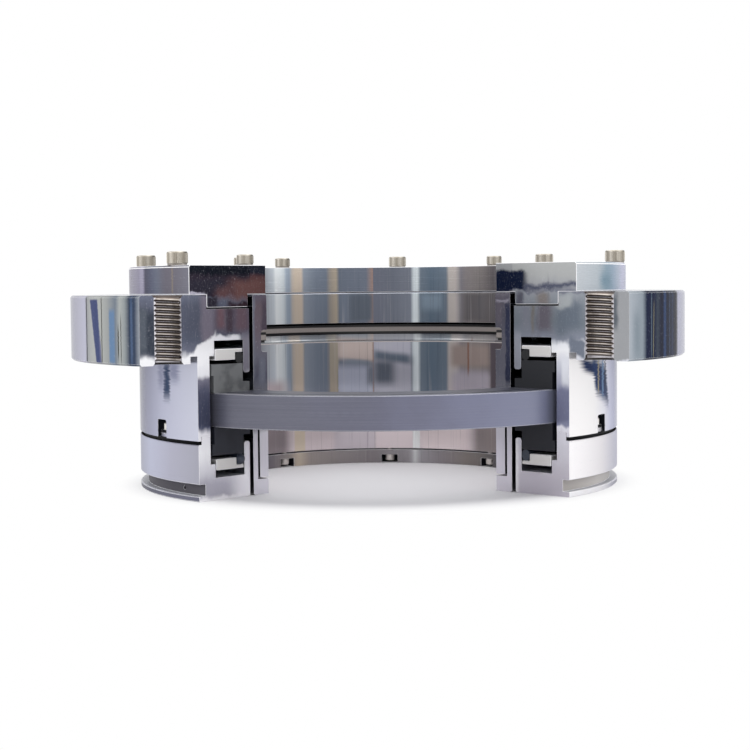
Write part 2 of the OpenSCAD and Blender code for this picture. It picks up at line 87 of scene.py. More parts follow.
class Sock:
    """A shader socket in an expression; each operator adds its Math node."""

    def __init__(self, tree, socket):
        self.tree = tree
        self.socket = socket

    def math(self, operation, *others):
        return add_math(self.tree, operation, self, *others)

    def __add__(self, other):
        return self.math("ADD", other)

    __radd__ = __add__

    def __sub__(self, other):
        return self.math("SUBTRACT", other)

    def __rsub__(self, other):
        return add_math(self.tree, "SUBTRACT", other, self)

    def __mul__(self, other):
        return self.math("MULTIPLY", other)

    __rmul__ = __mul__

    def __truediv__(self, other):
        return self.math("DIVIDE", other)

    def __neg__(self):
        return self.math("MULTIPLY", -1.0)

    def __abs__(self):
        return self.math("ABSOLUTE")

    def __gt__(self, other):
        return self.math("GREATER_THAN", other)

    def __lt__(self, other):
        return self.math("LESS_THAN", other)

    def step(self, low, high):
        """0 below low, 1 above high, smooth between; falls instead where low is above high."""
        node = add(self.tree, "ShaderNodeMapRange", {"interpolation_type": "SMOOTHSTEP"},
                   {"Value": self, "From Min": low, "From Max": high})
        return Sock(self.tree, node.outputs[0])

    def within(self, low, high, soft):
        """1 between low and high, with soft edges."""
        return self.step(low - soft, low + soft) * self.step(high + soft, high - soft)


def add(tree, kind, settings=(), values=()):
    """Adds one node: settings first, then the values or links of its inputs."""
    node = tree.nodes.new(kind)
    for name, value in dict(settings).items():
        if name == "stops":
            fill_ramp(node.color_ramp, value)
        else:
            setattr(node, name, value)
    for key, value in dict(values).items():
        socket = node.inputs[key]
        if isinstance(value, Sock):
            tree.links.new(value.socket, socket)
        elif isinstance(value, bpy.types.NodeSocket):
            tree.links.new(value, socket)
        else:
            socket.default_value = value
    return node


def add_math(tree, operation, *args):
    """A Math node on sockets and numbers."""
    return Sock(tree, add(tree, "ShaderNodeMath", {"operation": operation}, dict(enumerate(args))).outputs[0])


def fill_ramp(ramp, stops):
    """Sets a ramp's stops: (position, colour) in rising order."""
    for position, colour in stops[2:]:
        ramp.elements.new(position)
    for element, (position, colour) in zip(ramp.elements, stops):
        element.position = position
        element.color = (*colour, 1.0)


def rgb(text):
    """A colour written as sRGB hex, in the linear values that a shader takes."""
    parts = [int(text[i:i + 2], 16) / 255 for i in (0, 2, 4)]
    return tuple(p / 12.92 if p <= 0.04045 else ((p + 0.055) / 1.055) ** 2.4 for p in parts)


def ramp(value, stops, span=(0.0, 1.0)):
    """A colour read from hex stops along a value; span gives the values of the ramp's ends."""
    low, high = span
    scaled = (value - low) / (high - low)
    placed = [((at - low) / (high - low), rgb(colour)) for at, colour in stops]
    return Sock(value.tree, add(value.tree, "ShaderNodeValToRGB", {"stops": placed}, {0: scaled}).outputs[0])


def mix(tree, factor, a, b, blend="MIX"):
    """Mixes two colours."""
    node = add(tree, "ShaderNodeMix", {"data_type": "RGBA", "blend_type": blend},
               {"Factor": factor, 6: a if isinstance(a, Sock) else (*a, 1.0),
                7: b if isinstance(b, Sock) else (*b, 1.0)})
    return Sock(tree, node.outputs[2])


class Place:
    """Where a shaded point is on the seal: mm from the axis, degrees from the front, mm up."""

    def __init__(self, tree):
        self.tree = tree
        coords = add(tree, "ShaderNodeTexCoord")
        scaled = add(tree, "ShaderNodeVectorMath", {"operation": "SCALE"},
                     {0: coords.outputs["Object"], "Scale": 1 / MM})
        parts = add(tree, "ShaderNodeSeparateXYZ", (), {0: scaled.outputs[0]})
        self.point = Sock(tree, scaled.outputs[0])
        self.x, self.y, self.z = (Sock(tree, s) for s in parts.outputs)
        self.r = (self.x * self.x + self.y * self.y).math("SQRT")
        self.a = self.x.math("ARCTAN2", -self.y) * (180 / math.pi)
        normal = add(tree, "ShaderNodeSeparateXYZ", (), {0: coords.outputs["Normal"]})
        self.nx, ny, self.nz = (Sock(tree, s) for s in normal.outputs)
        self.outward = (self.nx * self.x + ny * self.y) / self.r
        self.cut = abs(self.a) < HALF_CUT + 0.06
        self.right = self.a > 0

    def vector(self, x, y, z=0.0):
        """A point for a noise, stretched or turned by what goes into it."""
        return Sock(self.tree, add(self.tree, "ShaderNodeCombineXYZ", (), {0: x, 1: y, 2: z}).outputs[0])

    def noise(self, vector, scale, detail=3.0, rough=0.5):
        """A cloudy value round 0.5."""
        node = add(self.tree, "ShaderNodeTexNoise", {"noise_dimensions": "3D"},
                   {"Vector": vector, "Scale": scale, "Detail": detail, "Roughness": rough})
        return Sock(self.tree, node.outputs[0])

    def turning_lines(self, scale):
        """Fine lines that run round the axis, as a lathe leaves them."""
        return self.noise(self.vector(self.r, self.z, self.a * 0.004), scale, 4.0, 0.62)


def new_material(name):
    """An empty node material and its tree."""
    material = bpy.data.materials.new(name)
    material.use_nodes = True
    material.node_tree.nodes.clear()
    return material, material.node_tree


def finish_material(material, tree, bump, bump_height, rim=1.0, **inputs):
    """Puts a Principled shader on the material.

    bump_height is in mm. rim dims the glancing sheen. inputs are the shader's, with underscores for spaces.
    """
    values = {key.replace("_", " "): value for key, value in inputs.items()}
    if rim != 1.0:
        values.update({"Specular Tint": (rim, rim, rim, 1.0), "Specular IOR Level": 0.5 * rim})
    relief = add(tree, "ShaderNodeBump", (), {"Height": bump, "Distance": bump_height * MM, "Strength": 1.0})
    values["Normal"] = relief.outputs[0]
    shader = add(tree, "ShaderNodeBsdfPrincipled", (), values)
    output = add(tree, "ShaderNodeOutputMaterial")
    tree.links.new(shader.outputs[0], output.inputs["Surface"])
    return material


def patched(colour, gate, u, v, patches):
    """Lays soft-edged patches over a surface.

    patches: (u from, u to, v from, v to, softness of u, softness of v, colour), and where a patch is slanted
    also its lean of u per v and its rise of v per u.
    """
    for u_from, u_to, v_from, v_to, u_soft, v_soft, tint, *slant in patches:
        lean, rise = slant or (0.0, 0.0)
        across = u - (v - v_from) * lean if lean else u
        level = v - (u - u_from) * rise if rise else v
        mask = across.within(u_from, u_to, u_soft) * level.within(v_from, v_to, v_soft) * gate
        colour = mix(u.tree, mask, colour, rgb(tint))
    return colour


def paler(stops, share):
    """The same stops, each colour this share of the way to white."""
    lifted = [[round(int(c[i:i + 2], 16) * (1 - share) + 255 * share) for i in (0, 2, 4)] for _, c in stops]
    return [(at, "%02x%02x%02x" % tuple(parts)) for (at, _), parts in zip(stops, lifted)]


def painted_walls(place, colour, painted, wall_patches):
    """Paints reflections on the turned walls, colours by angle, and lays the reflection patches on them; also returns
    where such walls are.
    """
    tree = place.tree
    wobble = (place.noise(place.vector(place.a * 0.12, place.z * 0.04), 1.0) - 0.5) * 1.2
    ragged = (place.noise(place.vector(place.a * 0.02, place.z * 1.4), 1.0, 4.0) - 0.5) * 1.6
    walls = 0.0
    for low, high, side, stops in painted:
        mask = place.r.within(low, high, 0.05) * (place.outward * side > 0.5)
        walls = mask + walls
        angle = place.a + wobble * 0.5 + ragged * 0.3 if side > 0 else place.a + wobble * 0.3
        colour = mix(tree, mask, colour, ramp(angle, stops, ROUND))
    for low, high, side, tear, patches in wall_patches:
        gate = place.r.within(low, high, 0.05) * (place.outward * side > 0.5)
        colour = patched(colour, gate, place.a + ragged * tear, place.z + wobble + ragged * tear, patches)
    return colour, walls.math("MINIMUM", 1.0)


def wall_marks(place, colour, speckle):
    """Painted reflections: soft dark and light bands on the walls behind and fine light and dark lines in the bore;
    then specks, and nicks on the outside.
    """
    tree = place.tree
    outside, inside = place.outward > 0.5, place.outward < -0.5
    # Painted reflection bands, dark and light, on the outside walls at the back.
    reflection_band = place.noise(place.vector(abs(place.a) * 0.05, place.x * 0.02), 1.0, 3.0, 0.6)
    behind = abs(place.a).step(80.0, 98.0) * outside
    colour = mix(tree, reflection_band.step(0.5, 0.56) * behind * 0.6, colour, rgb("5f6878"))
    colour = mix(tree, reflection_band.step(0.46, 0.4) * behind * 0.7, colour, rgb("e6e8ec"))
    # Painted reflection lines, light and dark, running up the bore.
    reflection_lines = place.noise(place.vector(place.a * 0.9, place.z * 0.01), 1.0, 4.0, 0.7)
    colour = mix(tree, reflection_lines.step(0.56, 0.7) * inside * 0.28, colour, rgb("c9c6c6"))
    colour = mix(tree, reflection_lines.step(0.44, 0.32) * inside * 0.26, colour, rgb("3c424c"))
    colour = mix(tree, speckle.step(0.6, 0.74) * 0.15 * (1 - place.cut), colour, rgb("c4c8cc"))
    nicks = place.noise(place.vector(place.a * 1.6 + place.z * 0.5, place.z * 0.9), 1.0, 5.0, 0.75)
    return mix(tree, nicks.step(0.58, 0.7) * outside * 0.3, colour, rgb("c8ccd4"))


def cut_faces(place, colour, speckle, scratch, speckle_share, left, right):
    """Paints reflections on the two cut faces, colours by height and patches with light and dark reflection streaks,
    then adds specks and scratches.
    """
    tree = place.tree
    cloud = (place.noise(place.point, 0.08, 3.0, 0.6) - 0.5) * 6.0
    warp = (place.noise(place.point, 0.16, 3.0, 0.6) - 0.5) * 5.0
    reflection_streak = (place.noise(place.vector(place.r * 0.45, place.z * 0.03), 1.0, 3.0, 0.6) - 0.5) * 10.0
    for (outer, inner, patches), side in ((left, 1 - place.right), (right, place.right)):
        face = mix(tree, place.r < BORE_SIDE, ramp(place.z + cloud + reflection_streak * 0.3, outer, UPWARD),
                   ramp(place.z + cloud, inner, UPWARD))
        face = patched(face, 1.0, place.r + warp * 0.5, place.z + warp, patches)
        # Painted reflection streaks, light and dark, across the cut faces.
        face = mix(tree, reflection_streak.step(1.2, 2.6) * 0.22, face, rgb("c9c6cc"))
        face = mix(tree, reflection_streak.step(-1.2, -2.6) * 0.18, face, rgb("2b2a38"))
        face = mix(tree, speckle.step(0.58, 0.68) * speckle_share, face, rgb("d8d8e2"))
        face = mix(tree, scratch.step(0.6, 0.75) * 0.2, face, rgb("c9c6cc"))
        colour = mix(tree, place.cut * side, colour, face)
    return colour


def turned_steel(name, tint, rough, painted=(), wall_patches=(), left=None, right=None, cut_rough=0.16, metal=1.0,
                 line_depth=0.004, shaded=(), speckle_share=0.5, wall_metal=0.55):
    """Steel with lathe lines.

    painted: (lowest radius, highest radius, side, colours by angle) of turned walls, side 1 outside and -1 inside;
    these colours are painted reflections.
    wall_patches: (lowest radius, highest radius, side, raggedness, patches by angle and height) on such walls,
    which are painted reflections too.
    left, right: colours of the cut faces by height, outside and inside BORE_SIDE, and their patches, all painted
    reflections.
    shaded: (lowest radius, highest radius, lowest z, highest z, colour or colours by angle) of grooves and edges:
    painted shade in grooves, slots and notches, painted glints on edges and painted reflections by angle.
    speckle_share, wall_metal: how strong the specks on the cut faces are, and how metallic the painted walls.
    """
    material, tree = new_material(name)
    place = Place(tree)
    lines = place.turning_lines(5.0)
    speckle = place.noise(place.point, 1.5, 6.0, 0.8)
    scratch = place.noise(place.vector(place.x * 3.0, place.y * 3.0, place.z * 0.35), 0.9, 3.0, 0.6)
    colour = mix(tree, lines.step(0.35, 0.65) * 0.14, rgb(tint), (0.85, 0.85, 0.88), "MULTIPLY")
    walls = 0.0
    if painted:
        colour, walls = painted_walls(place, colour, painted, wall_patches)
        colour = wall_marks(place, colour, speckle)
    if left and right:
        colour = cut_faces(place, colour, speckle, scratch, speckle_share, left, right)
    # Level faces turned paler and less metallic: a painted sheen on the tops.
    level = (abs(place.nz) > LEVEL) * (1 - place.cut)
    colour = mix(tree, level * (0.45 + lines.step(0.4, 0.7) * 0.15), colour, rgb("e2e3e9"))
    # Painted shade in grooves and slots, painted glints and reflections on edges; these places are made matt and not
    # metallic.
    shaded_area = 0.0
    for low, high, bottom, top, tints in shaded:
        mask = place.r.within(low, high, 0.03) * place.z.within(bottom, top, 0.05) * (1 - place.cut)
        painted_shading = ramp(place.a, tints, ROUND) if isinstance(tints, list) else rgb(tints)
        colour = mix(tree, mask, colour, painted_shading)
        shaded_area = mask + shaded_area
    roughness = rough + (lines - 0.5) * 0.12
    roughness = roughness * (1 - place.cut) + (cut_rough + speckle.step(0.55, 0.75) * 0.15) * place.cut + shaded_area * 0.3
    height = lines * (1 - place.cut) + (speckle * 0.35 + scratch * 0.3) * place.cut
    metallic = (metal + walls * (wall_metal - metal)) * (1 - place.cut) * (1 - shaded_area) * (1 - level * 0.6)
    metallic = metallic + place.cut * 0.4
    return finish_material(material, tree, height, line_depth, rim=0.35, Base_Color=colour, Metallic=metallic,
                           Roughness=roughness)


def flank_steel(name):
    """Cut threads: painted highlights on the crests, painted shade down the flanks to the roots; stained in places."""
    material, tree = new_material(name)
    place = Place(tree)
    fine = place.noise(place.point, 3.0, 4.0, 0.7)
    stain = place.noise(place.point, 0.35, 3.0)
    hole = HOLE_CIRCLE * math.sqrt(0.5)
    aside, ahead = abs(place.x) - hole, abs(place.y) - hole
    depth = (TAP_RADIUS - (aside * aside + ahead * ahead).math("SQRT")) / CREST_DEPTH
    # Painted highlight on the crests, painted shade deepening towards the roots.
    colour = ramp(depth, [(0.0, "2a2320"), (0.22, "5a4f49"), (0.6, "85786e"), (0.84, "9d9086"), (0.93, "e6ded6"),
                          (1.0, "e6ded6")])
    # Painted shade on the flanks that face down.
    colour = mix(tree, place.nz.step(-0.1, -0.6) * 0.5, colour, rgb("15100f"))
    # Upright faces between root and crest, the threads' cut ends, painted pale like the reflecting cut faces.
    colour = mix(tree, (abs(place.nz) < 0.15) * (depth < 0.88) * (depth > 0.0), colour, rgb("c4c1c6"))
    colour = mix(tree, stain.step(0.5, 0.7) * 0.35, colour, rgb("3a2f2c"))
    # Painted shade in the lead-in at the top of each hole.
    colour = mix(tree, place.z.step(FLANGE_TOP - 1.1, FLANGE_TOP - 0.7), colour, rgb("4a403c"))
    return finish_material(material, tree, fine, 0.01, Base_Color=colour, Metallic=0.6, Roughness=0.28 + fine * 0.15)


def screw_steel(name):
    """Cap screws: beige steel, with painted reflections by the way each side faces and a painted highlight on top."""
    material, tree = new_material(name)
    place = Place(tree)
    fine = place.noise(place.point, 4.0, 4.0, 0.7)
    # Painted reflections: light and dark bands by the way each side of a head faces.
    across = place.nx + (fine - 0.5) * 0.15
    colour = ramp(across * 0.5 + 0.5, [(0.0, "4a453d"), (0.08, "8c857a"), (0.2, "e9e2d6"), (0.34, "b8b0a2"),
                                       (0.5, "aaa294"), (0.66, "cfc8bb"), (0.8, "8f887c"), (0.92, "3c3831"),
                                       (1.0, "2c2924")])
    # Painted highlight on the tops of the heads.
    colour = mix(tree, place.nz > 0.8, colour, rgb("d6d0c6"))
    colour = mix(tree, fine.step(0.5, 0.7) * 0.3, colour, rgb("6b655b"))
    return finish_material(material, tree, fine, 0.01, Base_Color=colour, Metallic=0.6, Roughness=0.28 + fine * 0.15)


def plain_steel(name, tint, rough, stain_share=0.25, metal=1.0):
    """Small steel pieces: rolled or ground, slightly stained."""
    material, tree = new_material(name)
    place = Place(tree)
    cloud = place.noise(place.point, 0.6, 3.0)
    fine = place.noise(place.point, 6.0, 4.0, 0.7)
    colour = mix(tree, cloud.step(0.45, 0.7) * stain_share, rgb(tint), rgb("3a3632"))
    return finish_material(material, tree, fine, 0.01, Base_Color=colour, Metallic=metal,
                           Roughness=rough + (fine - 0.5) * 0.2)


def lapped_steel(name):
    """The mating ring: satin with painted reflections, lapped faces with the spiral grooves that lift the seal's film.
    """
    material, tree = new_material(name)
    place = Place(tree)
    lines = place.turning_lines(9.0)
    # Painted reflections round the ring: darker to the left, paler to the right.
    colour = ramp(place.a + (place.noise(place.point, 0.05) - 0.5) * 30.0,
                  [(-180, "6a6b7a"), (-45, "5c5d6a"), (-20, "626370"), (0, "656678"), (25, "767990"), (45, "7e8298"),
                   (180, "6a6b7a")], ROUND)
    colour = mix(tree, lines.step(0.4, 0.7) * 0.3, colour, rgb("8a8b9a"))
    speckle = place.noise(place.point, 2.2, 5.0, 0.8)
    colour = mix(tree, speckle.step(0.6, 0.72) * 0.3, colour, rgb("a3a5b2"))
    wind = (place.r / SPIRAL_START).math("LOGARITHM", math.e) * SPIRAL_WIND
    turns = (place.a / 360.0 * SPIRAL_COUNT + wind).math("FRACT")
    level = abs(place.nz) > LEVEL
    groove = turns.within(0.0, 0.5, 0.03) * place.r.within(SPIRAL_LOW, SPIRAL_HIGH, 0.15) * level
    # Level faces darker: a painted dark reflection on the lapped faces.
    colour = mix(tree, level, colour, rgb("565763"))
    colour = mix(tree, groove, colour, rgb("2f303a"))
    return finish_material(material, tree, lines - groove * 0.8, 0.006, Base_Color=colour, Metallic=0.35,
                           Roughness=0.36 + groove * 0.15 + (lines - 0.5) * 0.15)


def matt(name, tint, rough, patch, left=None, ends=None):
    """Carbon, rubber and polymer: matt, with a fine grain.

    left is a painted highlight: a paler colour laid on the side left of the front, where light falls. ends are the
    heights beyond which the piece is painted black, painted shadow in the gaps above and below it.
    """
    material, tree = new_material(name)
    place = Place(tree)
    fine = place.noise(place.point, 2.5, 5.0, 0.7)
    colour = mix(tree, fine.step(0.35, 0.7) * 0.35, rgb(tint), rgb(patch))
    if left:
        # Painted highlight on the side left of the front.
        cloud = place.noise(place.point, 0.12, 3.0)
        colour = mix(tree, (1 - place.right) * (0.55 + cloud.step(0.35, 0.55) * 0.45), colour, rgb(left))
    if ends:
        # Painted shadow: black beyond these heights, where the gaps above and below the piece are.
        low, high = ends
        beyond = place.z.step(high - 0.2, high + 0.2) + place.z.step(low + 0.15, low - 0.15)
        colour = mix(tree, beyond, colour, rgb("08080a"))
    return finish_material(material, tree, fine, 0.02, Base_Color=colour, Metallic=0.0,
                           Roughness=rough + (fine - 0.5) * 0.15)


# ---------------------------------------------------------------- finishes

# Painted reflections round the turned walls: colours by degrees from the front
FLANGE_REFLECTIONS = [(-180, "b4b8c2"), (-96, "a9aac0"), (-80, "b0b1c8"), (-74, "bcbdd2"), (-68, "cbcbdd"),
                  (-64.2, "cccce0"), (-63.2, "a5a8a8"), (-61.5, "b9bbbb"), (-57, "b2b5b2"), (-54.8, "a2a5a4"),
                  (-52.4, "7d8691"), (-51.4, "68727f"), (-50.8, "aeb2b0"), (-48.8, "8c9396"), (-48.3, "343f54"),
                  (-46.4, "3c475c"), (-45.9, "9aa0a8"), (45, "a9b0b8"), (49.4, "8d97a0"), (50.0, "a89e86"),
                  (50.4, "12203c"), (54.3, "10203e"), (54.7, "4c545c"), (55.1, "061636"), (62.6, "0a1a3a"),
                  (64.5, "050c20"), (65.0, "1a1418"), (65.5, "c6c7dc"), (72, "d2d3e8"), (90, "c9cade"),
                  (180, "b4b8c2")]
CASING_REFLECTIONS = [(-180, "b0b4c2"), (-90, "9a9cb2"), (-78, "a2a4bc"), (-68, "b1b3c9"), (-60, "c1c3d6"),
                  (-54, "c5c7d8"), (-45, "caccda"), (45, "faf8f8"), (56, "faf8f8"), (62, "f0f0fa"), (66, "dee0f6"),
                  (72, "c4c8e8"), (84, "bcc0de"), (110, "b0b4c2"), (180, "b0b4c2")]
BASE_REFLECTIONS = [(-180, "b0b4c2"), (-84, "bcbed2"), (-68, "d2d5ea"), (-56, "b8b8c8"), (-45, "a8a8b4"), (45, "fbf9fa"),
                (60, "efecef"), (72, "d6d6e6"), (84, "bec0d8"), (110, "b0b4c2"), (180, "b0b4c2")]
PLATE_REFLECTIONS = [(-180, "9fa2ae"), (-90, "9f9bb0"), (-70, "9c98ac"), (-64.5, "8f8ba2"), (-63.5, "4c4c60"),
                 (-60, "5b5f74"), (-57, "6c7282"), (-54, "6c6974"), (-50, "716e78"), (-45, "7b7b86"), (45, "c0c5ca"),
                 (54, "b4bcc2"), (58, "8ba0ae"), (62, "98aabc"), (66, "b4bece"), (70, "c9cbe4"), (90, "b4b8d2"),
                 (180, "9fa2ae")]
BORE_REFLECTIONS = [(-179.5, "9c8278"), (-178.8, "a28a80"), (-178.4, "6f7684"), (-165.2, "6c7482"), (-164.8, "b3a897"),
               (-161.8, "a69d92"), (-161.4, "7b8594"), (-156, "818b9a"), (-150.2, "949da9"), (-149.6, "cfc1b2"),
               (-145, "cabcab"), (-144.4, "95a2b2"), (-141, "a4b0bd"), (-140.5, "dae2e6"), (-136, "ecf1f3"),
               (-135, "c8d0d8"), (-126, "8c8d94"), (112, "68666c"), (125, "6c676a"), (133, "8d8785"), (140, "8f898a"),
               (143.2, "84848e"), (143.6, "c8c0bb"), (148.3, "c6bfba"), (148.7, "74818f"), (156, "6a7a8a"),
               (160.8, "7b8794"), (161.2, "e8f1f4"), (163.4, "d6dfe4"), (164.0, "7a7f8b"), (172.4, "6a6f7b"),
               (180, "6c6f7c")]
FOOT_REFLECTIONS = [(-180, "8d878a"), (-165, "9a9494"), (-152, "a8a09c"), (-147, "d2c4b2"), (-143, "a49c98"),
               (-133, "7f7a80"), (-120, "6e6a72"), (120, "5e5c62"), (130, "7d7876"), (140, "8f8884"), (152, "989296"),
               (161, "a8a6aa"), (163, "dcdedf"), (165, "9c989c"), (180, "8d878a")]

# Painted reflection patches on the turned walls, among them a painted glint in the bore: degrees, heights, softness of
# both, colour, and lean and rise where slanted
FLANGE_REFLECTION_PATCHES = [(-63.9, -63.4, 57.5, 84.2, 0.12, 0.4, "2f3142"),
                  (-59.2, -57.1, 57.5, 83.2, 0.25, 0.5, "48527c", -0.1, 0.0),
                  (-59.0, -57.3, 57.5, 83.2, 0.25, 0.5, "46507a", -0.045, 0.0),
                  (-57.7, -57.1, 57.5, 68.0, 0.3, 4.0, "6b6e8e", -0.03, 0.0),
                  (-57.0, -56.7, 57.5, 84.0, 0.06, 0.5, "4a4a44"),
                  (-54.1, -52.3, 57.5, 79.0, 0.3, 1.6, "6a86a8"),
                  (-51.3, -51.0, 60.0, 72.0, 0.07, 3.0, "2f2e28"),
                  (-50.4, -50.2, 58.0, 76.0, 0.05, 3.0, "33322c"),
                  (-47.5, -46.9, 57.5, 84.0, 0.2, 6.0, "4c5e7c"),
                  (46.4, 48.6, 58.0, 76.0, 1.2, 5.0, "848f98"),
                  (52.2, 52.5, 58.0, 84.0, 0.15, 4.0, "5a6a76"),
                  (57.4, 58.6, 57.5, 84.5, 0.3, 0.5, "304468"),
                  (60.4, 60.6, 57.5, 84.5, 0.06, 0.5, "50607c"),
                  (52.9, 53.1, 57.5, 80.0, 0.06, 3.0, "8e8a6c", 0.012, 0.0),
                  (61.6, 62.6, 57.5, 84.5, 0.3, 0.5, "223250")]
CASING_REFLECTION_PATCHES = [(-58.8, -55.8, 42.0, 57.0, 0.5, 3.5, "3c4a66"),
                  (-55.8, -52.0, 49.0, 57.0, 1.4, 3.0, "9295ac"),
                  (-61.6, -58.6, 46.0, 57.0, 1.4, 4.0, "9a9db4"),
                  (50.8, 57.6, 51.6, 57.0, 1.8, 1.6, "1e3056", -0.25, -0.35),
                  (56.6, 64.4, 42.0, 57.0, 0.9, 3.5, "203a64", -0.12, -0.7),
                  (57.9, 58.5, 42.0, 57.0, 0.15, 2.0, "a89c80"),
                  (60.4, 61.4, 40.0, 57.0, 0.4, 3.0, "6f8cb0"),
                  (62.4, 62.9, 44.0, 57.0, 0.15, 2.0, "0c1426")]
RIM_REFLECTION_PATCHES = [(-181.0, -40.0, -1.0, 2.2, 1.0, 0.3, "747484"),
               (40.0, 66.0, -1.0, 2.2, 8.0, 0.3, "f0eff2"),
               (66.0, 181.0, -1.0, 2.2, 8.0, 0.3, "b2b2c0")]
PLATE_REFLECTION_PATCHES = [(55.0, 60.5, 86.0, 92.0, 2.2, 3.0, "7a93a2"),
                 (-51.0, -50.5, 85.0, 97.0, 0.2, 1.0, "8a8078"),
                 (-67.0, -64.5, 85.0, 97.0, 0.6, 1.0, "a6a2b8")]
BORE_REFLECTION_PATCHES = [(-179.5, -165.0, 34.0, 48.5, 0.4, 3.0, "b0b4c4"),
                (-179.5, -165.0, 50.5, 61.0, 0.4, 2.0, "bfb1ac", 0.0, 0.1),
                (164.5, 180.0, 34.0, 61.0, 0.6, 1.0, "b0b0bc"),
                (164.5, 180.0, 49.0, 53.5, 2.5, 1.8, "626c7a", 0.0, 0.15),
                (-180.0, -168.0, 48.6, 50.4, 3.0, 1.2, "828a96", 0.0, 0.12),
                (171.5, 180.0, 39.0, 51.0, 2.8, 3.0, "646a76"),
                (-180.0, -177.4, 39.0, 49.0, 1.5, 3.0, "747a86"),
                (-165.0, -161.6, 34.0, 61.0, 0.2, 1.0, "b0a798"),
                (126.0, 147.0, 34.0, 46.0, 3.0, 3.5, "b4aeb8"),
                (127.0, 147.0, 48.0, 59.0, 2.5, 2.5, "a3948e"),
                (138.2, 138.9, 45.0, 61.0, 0.35, 3.0, "8c6656"),
                (112.0, 126.5, 34.0, 61.0, 0.8, 1.0, "645c62"),
                (-141.0, -128.0, 34.0, 42.0, 4.0, 3.0, "c8bcc0"),
                # A painted glint on the bore just below the groove.
                (-135.0, -126.0, 61.8, 63.4, 1.2, 0.4, "f6f4f2"),
                (-180.0, 180.0, 5.0, 31.0, 1.0, 0.5, "e6d9dc"),
                (-181.0, -163.0, 5.0, 31.0, 1.5, 0.5, "d2c9d0"),
                (139.0, 160.0, 5.0, 31.0, 2.0, 0.5, "f4e6e7"),
                (-150.0, -145.0, 5.0, 31.0, 0.3, 0.5, "e4d6c2"),
                (161.0, 164.0, 5.0, 31.0, 0.3, 0.5, "f6f8f8"),
                (112.0, 136.0, 5.0, 31.0, 3.0, 0.5, "9d9494"),
                (-142.0, -112.0, 5.0, 31.0, 3.0, 0.5, "9a9094"),
                (-180.0, -170.0, 70.0, 84.0, 2.0, 2.0, "5c636e"),
                (151.0, 160.0, 76.0, 84.0, 1.5, 3.0, "8c9dac"),
                (120.0, 141.0, 70.0, 84.0, 3.0, 2.0, "6e6a6c")]

# Painted reflections on the cut faces: colours by height outside and inside the housings' bore, then patches by radius
# and height
LEFT_OUTER_REFLECTIONS = [(0, "b2b0bc"), (7, "bcbac6"), (12, "dddce4"), (20, "efeff3"), (28, "e4e3ea"), (30.5, "4c5066"),
              (40, "50546a"), (46, "5a5c70"), (50, "7c7a8a"), (52, "ececf1"), (59, "f2f2f5"), (62, "6c6f80"),
              (66, "5a5f70"), (72, "565a6a"), (80, "5a5e6e"), (84.3, "6a6f80"), (85, "241f2e"), (92, "2b2430"),
              (94, "0c111c"), (100, "080c16")]
LEFT_INNER_REFLECTIONS = [(0, "dcdae4"), (10, "eae8f0"), (26, "e6e4ec"), (30, "9292a0"), (44, "84858e"), (50, "646574"),
              (60, "7a7986"), (70, "786c76"), (80, "72646c"), (84, "686270"), (85, "5c4240"), (92, "4a3236"),
              (94, "1b1f2c"), (100, "0c111c")]
LEFT_HOUSING_REFLECTIONS = [(128.0, 138.0, 61.0, 79.0, 0.5, 2.0, "3a404c"),
                (133.4, 138.0, 62.0, 80.0, 1.2, 2.0, "565c66"),
                (98.0, 105.2, 66.0, 84.5, 2.0, 1.5, "7a7482"),
                (91.5, 97.0, 70.0, 84.5, 2.8, 3.0, "735a62"),
                (87.5, 91.5, 69.0, 84.5, 1.5, 2.0, "4d424c"),
                (79.0, 87.0, 69.0, 84.5, 2.4, 3.0, "6c5a64"),
                (78.0, 83.0, 52.0, 68.0, 0.4, 2.5, "8b8894"),
                (97.5, 116.0, 61.0, 69.5, 1.2, 1.0, "f4f4f7", 0.0, -0.6),
                (84.0, 99.0, 65.0, 67.8, 1.5, 0.8, "ececf1")]
LEFT_PLATE_REFLECTIONS = [(92.0, 112.0, 85.8, 91.0, 4.5, 1.6, "2a2834"),
              (68.0, 89.0, 82.5, 91.0, 5.5, 2.4, "6b4c4a"),
              (88.0, 97.0, 83.0, 88.0, 4.0, 2.0, "604648", 0.0, -0.1),
              (102.5, 112.0, 84.2, 85.6, 1.6, 0.5, "b2afbe"),
              (78.0, 90.0, 78.5, 81.5, 2.0, 1.0, "33242c"),
              (96.0, 102.0, 79.0, 84.0, 1.5, 1.2, "2e2b36")]
LEFT_SLEEVE_REFLECTIONS = [(75.6, 78.0, 48.0, 84.0, 0.5, 2.5, "7c7e8c"),
               (68.0, 71.5, 66.0, 82.0, 1.2, 2.5, "5a505c"),
               (70.0, 73.0, 46.0, 58.0, 1.2, 2.5, "808392")]
LEFT_BASE_REFLECTIONS = [(74.0, 88.0, -1.0, 31.0, 6.0, 2.0, "f8f6fc"),
             (74.0, 110.0, -1.0, 1.6, 1.0, 1.2, "fcfafe")]
RIGHT_OUTER_REFLECTIONS = [(0, "c4bfca"), (9, "cac5cf"), (20, "cccad4"), (27, "d4d2dc"), (28.5, "e2e1ea"), (29.6, "80839c"),
               (44, "8689a2"), (47, "b0b2c4"), (56, "cfd1dc"), (60.5, "f2f3f6"), (63, "e9ebf0"), (65, "878c9a"),
               (72, "788088"), (80, "8a9098"), (84.4, "989da4"), (85.2, "787b88"), (88, "a4a6aa"), (91, "aeb0b0"),
               (100, "b4b6b5")]
RIGHT_INNER_REFLECTIONS = [(0, "dad6e0"), (12, "e6e2ec"), (28, "d6d4de"), (30, "9495a4"), (44, "84858f"), (50, "767682"),
               (64, "666672"), (74, "5a5a66"), (82, "666470"), (84.4, "7a7781"), (85, "1a2238"), (93, "1a2238"),
               (94.5, "a0a2a5"), (100, "aaacad")]
